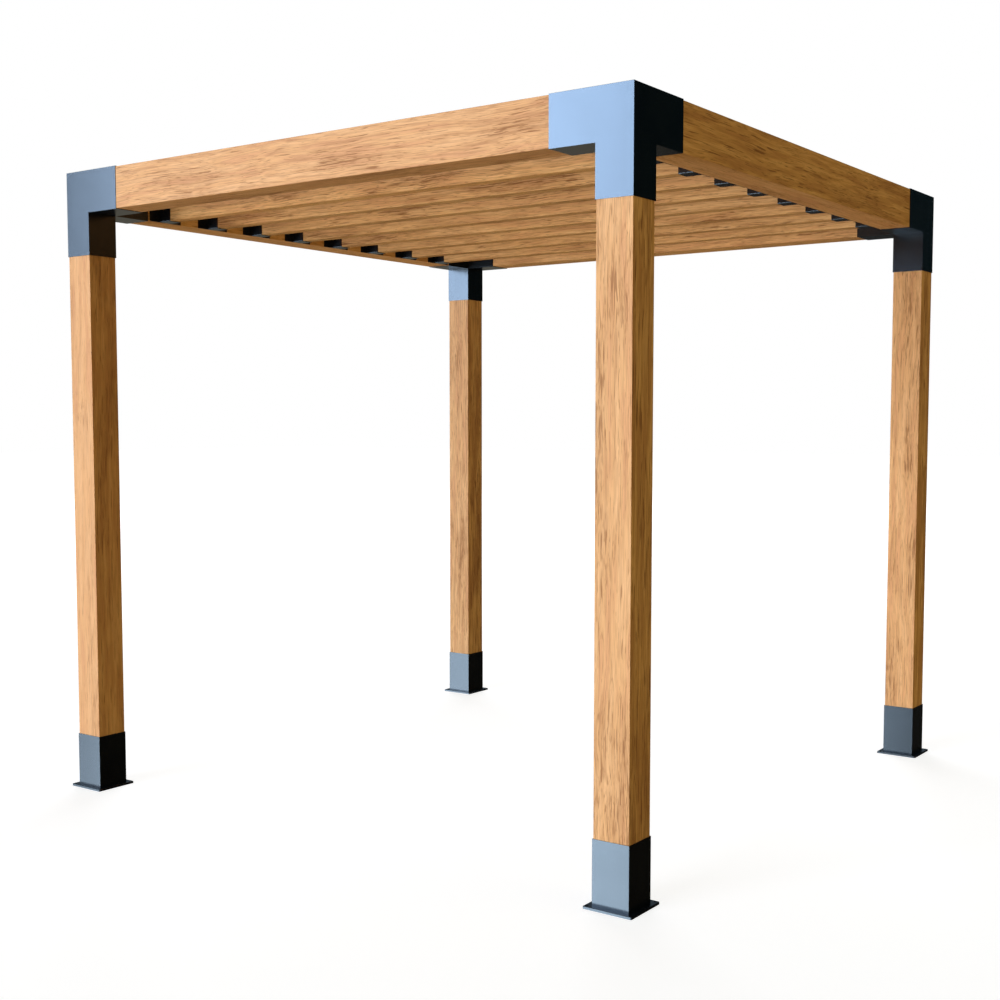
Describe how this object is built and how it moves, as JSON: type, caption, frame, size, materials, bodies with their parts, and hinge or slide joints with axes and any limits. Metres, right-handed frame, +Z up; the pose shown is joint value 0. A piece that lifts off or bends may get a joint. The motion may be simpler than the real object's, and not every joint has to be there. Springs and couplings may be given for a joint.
{
  "type": "timber pergola with steel corner brackets",
  "caption": "Open square pergola of timber posts, beams and rafters, joined by three-way steel corner brackets, flanged steel post bases and rafter hangers.",
  "frame": {"origin": "on the ground, midway between the four posts", "axes": "+X along the front beam from left to right, +Y from the front to the back, +Z up"},
  "size_m": [2.9236, 2.9236, 2.732],
  "materials": {
    "post_timber": "oiled, planed",
    "beam_timber": "oiled, planed",
    "rafter_timber": "oiled, planed",
    "powder_coated_steel": "satin powder coat"
  },
  "bodies": {
    "root": {"post_front_left": "post_timber", "post_base_front_left": "powder_coated_steel", "corner_bracket_front_left": "powder_coated_steel", "post_front_right": "post_timber", "post_base_front_right": "powder_coated_steel", "corner_bracket_front_right": "powder_coated_steel", "post_back_right": "post_timber", "post_base_back_right": "powder_coated_steel", "corner_bracket_back_right": "powder_coated_steel", "post_back_left": "post_timber", "post_base_back_left": "powder_coated_steel", "corner_bracket_back_left": "powder_coated_steel", "beam_front": "beam_timber", "beam_back": "beam_timber", "beam_left": "beam_timber", "beam_right": "beam_timber", "rafter_1": "rafter_timber", "hanger_left_1": "powder_coated_steel", "hanger_right_1": "powder_coated_steel", "rafter_2": "rafter_timber", "hanger_left_2": "powder_coated_steel", "hanger_right_2": "powder_coated_steel", "rafter_3": "rafter_timber", "hanger_left_3": "powder_coated_steel", "hanger_right_3": "powder_coated_steel", "rafter_4": "rafter_timber", "hanger_left_4": "powder_coated_steel", "hanger_right_4": "powder_coated_steel", "rafter_5": "rafter_timber", "hanger_left_5": "powder_coated_steel", "hanger_right_5": "powder_coated_steel", "rafter_6": "rafter_timber", "hanger_left_6": "powder_coated_steel", "hanger_right_6": "powder_coated_steel", "rafter_7": "rafter_timber", "hanger_left_7": "powder_coated_steel", "hanger_right_7": "powder_coated_steel", "rafter_8": "rafter_timber", "hanger_left_8": "powder_coated_steel", "hanger_right_8": "powder_coated_steel"}
  },
  "joints": []
}
